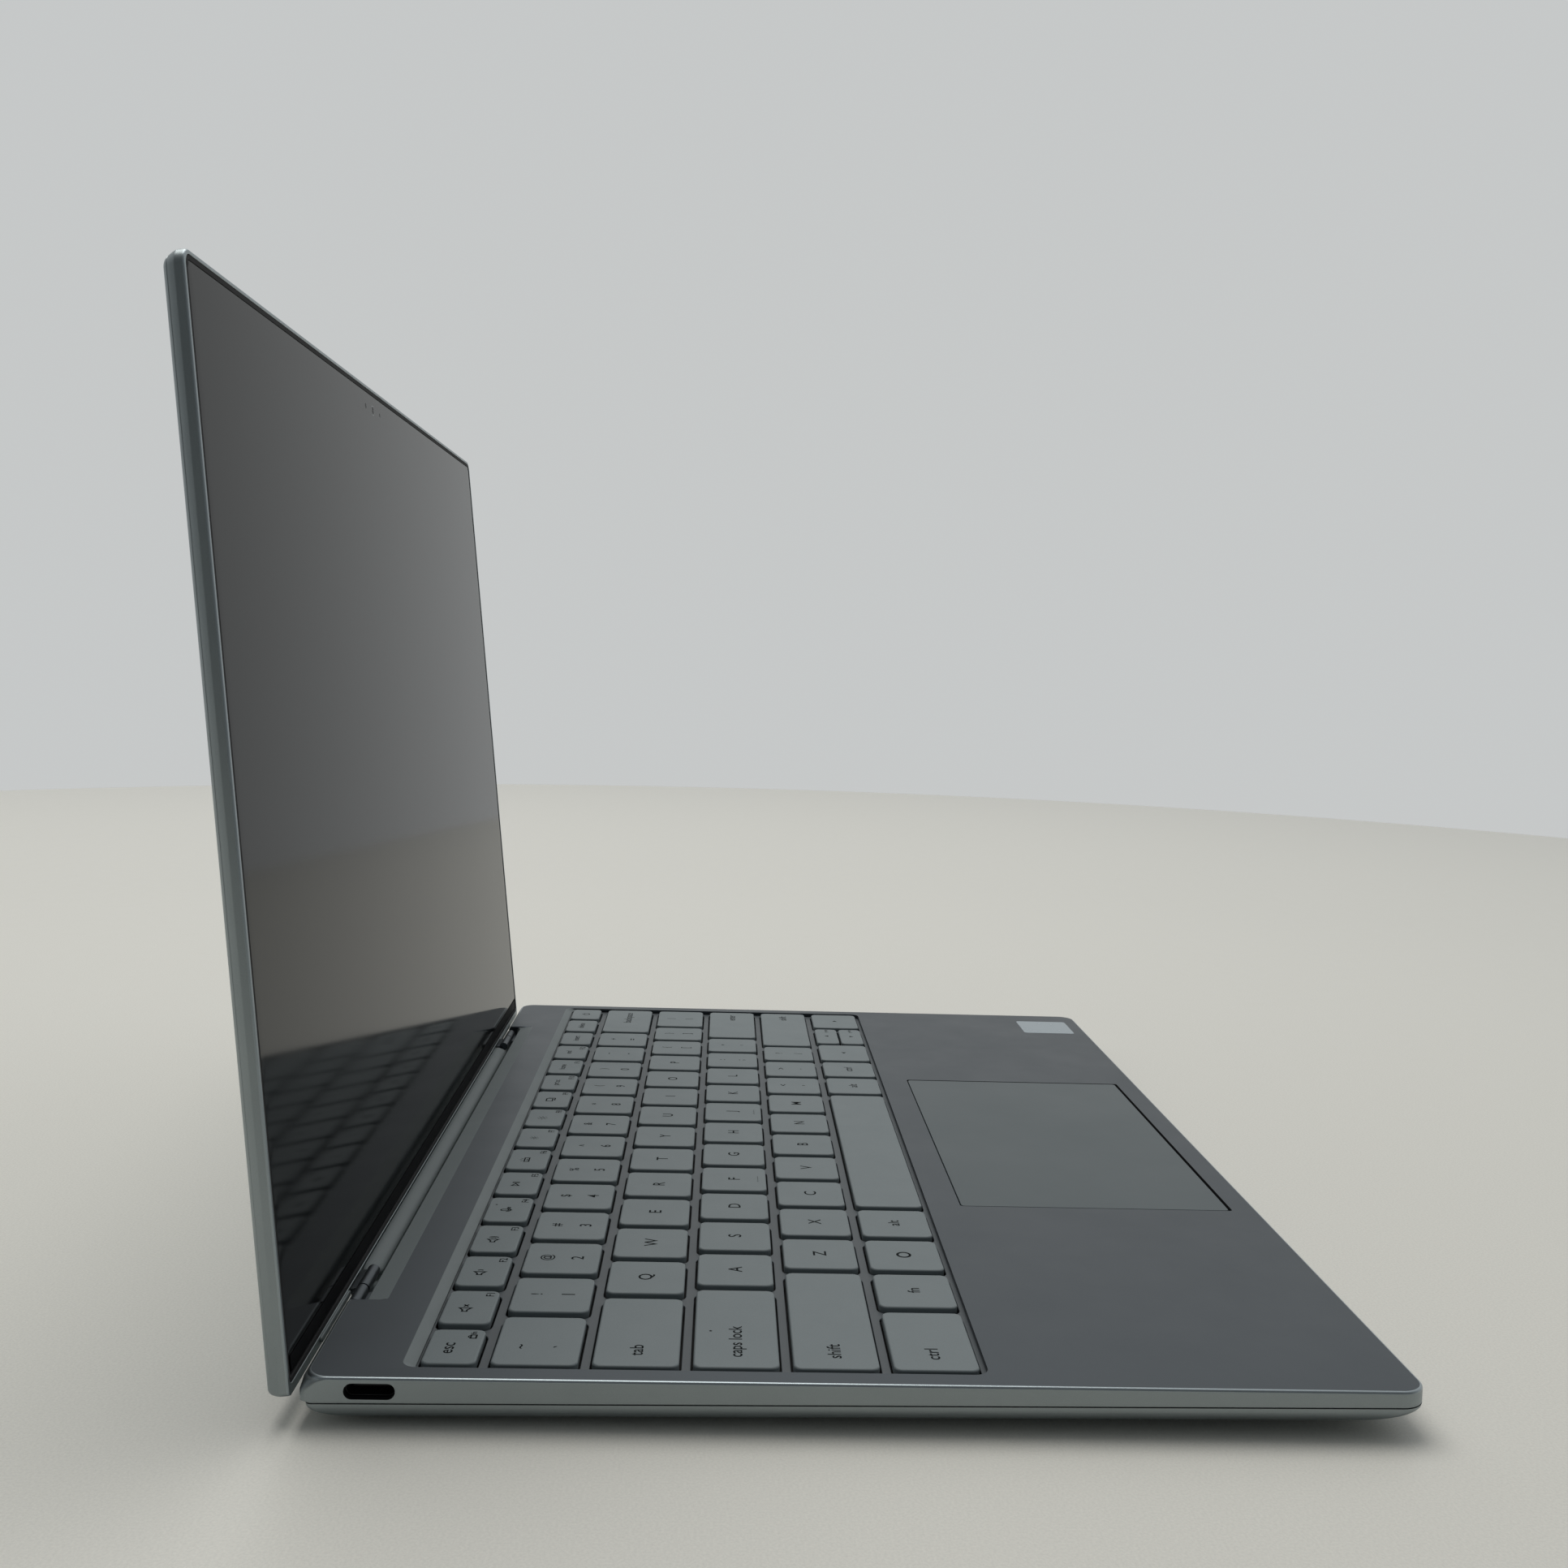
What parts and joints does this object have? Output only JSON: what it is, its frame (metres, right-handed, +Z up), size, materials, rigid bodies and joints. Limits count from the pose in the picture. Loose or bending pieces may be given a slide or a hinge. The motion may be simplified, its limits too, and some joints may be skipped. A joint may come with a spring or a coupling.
{
  "type": "laptop computer",
  "caption": "Slim 13-inch clamshell laptop, shown open at a right angle, with hinged screen lid, travelling keys, click touchpad and two side ports.",
  "frame": {"origin": "on the supporting surface, under the middle of the open laptop's bounding box", "axes": "+X to the user's right, along the hinge; +Y from the user towards the hinge; +Z up from the feet"},
  "size_m": [0.2954, 0.227, 0.2027],
  "materials": {
    "deck": "fine bead-blasted anodised slate blue-grey",
    "shell": "fine bead-blasted anodised pale blue-grey",
    "keycap": "smooth matte pale blue-grey",
    "touchpad": "etched satin glass, blue-grey coated behind",
    "display": "near-black anti-glare cover glass",
    "rubber": "matte",
    "steel": "satin",
    "copper": "dull copper",
    "board": "solder-masked board",
    "battery": "matte wrapped cells",
    "plastic": "matte black"
  },
  "bodies": {
    "base": {"palmrest_deck": "deck", "keyboard_tray": "deck", "bottom_cover": "shell", "front_foot": "rubber", "rear_foot": "rubber", "hinge_bracket_left": "steel", "hinge_bracket_right": "steel", "usb_c_port_left": "steel", "usb_c_port_right": "steel", "keyboard_base_plate": "steel", "touchpad_bracket": "steel", "screw_front_left": "steel", "screw_front_middle": "steel", "screw_front_right": "steel", "screw_rear_left": "steel", "screw_rear_middle": "steel", "screw_rear_right": "steel", "heat_pipe": "copper", "mainboard": "board", "battery_pack": "battery", "fan_housing": "plastic", "speaker_left": "plastic", "speaker_right": "plastic"},
    "lid": {"lid_shell": "shell", "display_gasket": "rubber", "display_glass": "display", "display_panel": "plastic", "camera_module": "board", "hinge_cover": "shell", "hinge_arm_left": "steel", "hinge_arm_right": "steel", "display_chin": "plastic"},
    "touchpad": {"touchpad": "touchpad"},
    "fan_impeller": {"fan_impeller": "plastic"},
    "left_ctrl_key": {"left_ctrl_key": "keycap"},
    "fn_key": {"fn_key": "keycap"},
    "menu_key": {"menu_key": "keycap"},
    "left_alt_key": {"left_alt_key": "keycap"},
    "space_bar": {"space_bar": "keycap"},
    "right_alt_key": {"right_alt_key": "keycap"},
    "right_ctrl_key": {"right_ctrl_key": "keycap"},
    "left_arrow_key": {"left_arrow_key": "keycap"},
    "right_arrow_key": {"right_arrow_key": "keycap"},
    "left_shift_key": {"left_shift_key": "keycap"},
    "right_shift_key": {"right_shift_key": "keycap"},
    "caps_lock_key": {"caps_lock_key": "keycap"},
    "enter_key": {"enter_key": "keycap"},
    "tab_key": {"tab_key": "keycap"},
    "backslash_key": {"backslash_key": "keycap"},
    "grave_key": {"grave_key": "keycap"},
    "backspace_key": {"backspace_key": "keycap"},
    "esc_key": {"esc_key": "keycap"},
    "power_key": {"power_key": "keycap"},
    "down_arrow_key": {"down_arrow_key": "keycap"},
    "up_arrow_key": {"up_arrow_key": "keycap"},
    "lower_letter_keys": {"lower_letter_keys": "keycap"},
    "home_letter_keys": {"home_letter_keys": "keycap"},
    "upper_letter_keys": {"upper_letter_keys": "keycap"},
    "digit_keys": {"digit_keys": "keycap"},
    "function_keys": {"function_keys": "keycap"}
  },
  "joints": [
    {"name": "lid_hinge", "type": "hinge", "parent": "base", "child": "lid", "pos_m": [0, 0.08447, 0.00695], "axis": [-1, 0, 0], "range_deg": [-96.5, 38.5]},
    {"name": "touchpad_click", "type": "hinge", "parent": "base", "child": "touchpad", "pos_m": [0, -0.04333, 0.0086], "axis": [1, 0, 0], "range_deg": [0, 0.25], "stiffness_Nm_per_rad": 25, "springref_deg": -0.06},
    {"name": "fan_spin", "type": "hinge", "parent": "base", "child": "fan_impeller", "pos_m": [0.088, 0.03647, 0.0038], "axis": [0, 0, 1], "continuous": true},
    {"name": "left_ctrl_key_travel", "type": "slide", "parent": "base", "child": "left_ctrl_key", "axis": [0, 0, -1], "range_m": [0, 0.001], "stiffness_N_per_m": 400, "springref_m": -0.0003},
    {"name": "fn_key_travel", "type": "slide", "parent": "base", "child": "fn_key", "axis": [0, 0, -1], "range_m": [0, 0.001], "stiffness_N_per_m": 400, "springref_m": -0.0003},
    {"name": "menu_key_travel", "type": "slide", "parent": "base", "child": "menu_key", "axis": [0, 0, -1], "range_m": [0, 0.001], "stiffness_N_per_m": 400, "springref_m": -0.0003},
    {"name": "left_alt_key_travel", "type": "slide", "parent": "base", "child": "left_alt_key", "axis": [0, 0, -1], "range_m": [0, 0.001], "stiffness_N_per_m": 400, "springref_m": -0.0003},
    {"name": "space_bar_travel", "type": "slide", "parent": "base", "child": "space_bar", "axis": [0, 0, -1], "range_m": [0, 0.001], "stiffness_N_per_m": 800, "springref_m": -0.0003},
    {"name": "right_alt_key_travel", "type": "slide", "parent": "base", "child": "right_alt_key", "axis": [0, 0, -1], "range_m": [0, 0.001], "stiffness_N_per_m": 400, "springref_m": -0.0003},
    {"name": "right_ctrl_key_travel", "type": "slide", "parent": "base", "child": "right_ctrl_key", "axis": [0, 0, -1], "range_m": [0, 0.001], "stiffness_N_per_m": 400, "springref_m": -0.0003},
    {"name": "left_arrow_key_travel", "type": "slide", "parent": "base", "child": "left_arrow_key", "axis": [0, 0, -1], "range_m": [0, 0.001], "stiffness_N_per_m": 400, "springref_m": -0.0003},
    {"name": "right_arrow_key_travel", "type": "slide", "parent": "base", "child": "right_arrow_key", "axis": [0, 0, -1], "range_m": [0, 0.001], "stiffness_N_per_m": 400, "springref_m": -0.0003},
    {"name": "left_shift_key_travel", "type": "slide", "parent": "base", "child": "left_shift_key", "axis": [0, 0, -1], "range_m": [0, 0.001], "stiffness_N_per_m": 400, "springref_m": -0.0003},
    {"name": "right_shift_key_travel", "type": "slide", "parent": "base", "child": "right_shift_key", "axis": [0, 0, -1], "range_m": [0, 0.001], "stiffness_N_per_m": 400, "springref_m": -0.0003},
    {"name": "caps_lock_key_travel", "type": "slide", "parent": "base", "child": "caps_lock_key", "axis": [0, 0, -1], "range_m": [0, 0.001], "stiffness_N_per_m": 400, "springref_m": -0.0003},
    {"name": "enter_key_travel", "type": "slide", "parent": "base", "child": "enter_key", "axis": [0, 0, -1], "range_m": [0, 0.001], "stiffness_N_per_m": 400, "springref_m": -0.0003},
    {"name": "tab_key_travel", "type": "slide", "parent": "base", "child": "tab_key", "axis": [0, 0, -1], "range_m": [0, 0.001], "stiffness_N_per_m": 400, "springref_m": -0.0003},
    {"name": "backslash_key_travel", "type": "slide", "parent": "base", "child": "backslash_key", "axis": [0, 0, -1], "range_m": [0, 0.001], "stiffness_N_per_m": 400, "springref_m": -0.0003},
    {"name": "grave_key_travel", "type": "slide", "parent": "base", "child": "grave_key", "axis": [0, 0, -1], "range_m": [0, 0.001], "stiffness_N_per_m": 400, "springref_m": -0.0003},
    {"name": "backspace_key_travel", "type": "slide", "parent": "base", "child": "backspace_key", "axis": [0, 0, -1], "range_m": [0, 0.001], "stiffness_N_per_m": 400, "springref_m": -0.0003},
    {"name": "esc_key_travel", "type": "slide", "parent": "base", "child": "esc_key", "axis": [0, 0, -1], "range_m": [0, 0.001], "stiffness_N_per_m": 400, "springref_m": -0.0003},
    {"name": "power_key_travel", "type": "slide", "parent": "base", "child": "power_key", "axis": [0, 0, -1], "range_m": [0, 0.001], "stiffness_N_per_m": 400, "springref_m": -0.0003},
    {"name": "down_arrow_key_travel", "type": "slide", "parent": "base", "child": "down_arrow_key", "axis": [0, 0, -1], "range_m": [0, 0.001], "stiffness_N_per_m": 400, "springref_m": -0.0003},
    {"name": "up_arrow_key_travel", "type": "slide", "parent": "base", "child": "up_arrow_key", "axis": [0, 0, -1], "range_m": [0, 0.001], "stiffness_N_per_m": 400, "springref_m": -0.0003},
    {"name": "lower_letter_keys_travel", "type": "slide", "parent": "base", "child": "lower_letter_keys", "axis": [0, 0, -1], "range_m": [0, 0.001], "stiffness_N_per_m": 4000, "springref_m": -0.0003},
    {"name": "home_letter_keys_travel", "type": "slide", "parent": "base", "child": "home_letter_keys", "axis": [0, 0, -1], "range_m": [0, 0.001], "stiffness_N_per_m": 4400, "springref_m": -0.0003},
    {"name": "upper_letter_keys_travel", "type": "slide", "parent": "base", "child": "upper_letter_keys", "axis": [0, 0, -1], "range_m": [0, 0.001], "stiffness_N_per_m": 4800, "springref_m": -0.0003},
    {"name": "digit_keys_travel", "type": "slide", "parent": "base", "child": "digit_keys", "axis": [0, 0, -1], "range_m": [0, 0.001], "stiffness_N_per_m": 4800, "springref_m": -0.0003},
    {"name": "function_keys_travel", "type": "slide", "parent": "base", "child": "function_keys", "axis": [0, 0, -1], "range_m": [0, 0.001], "stiffness_N_per_m": 5600, "springref_m": -0.0003}
  ]
}
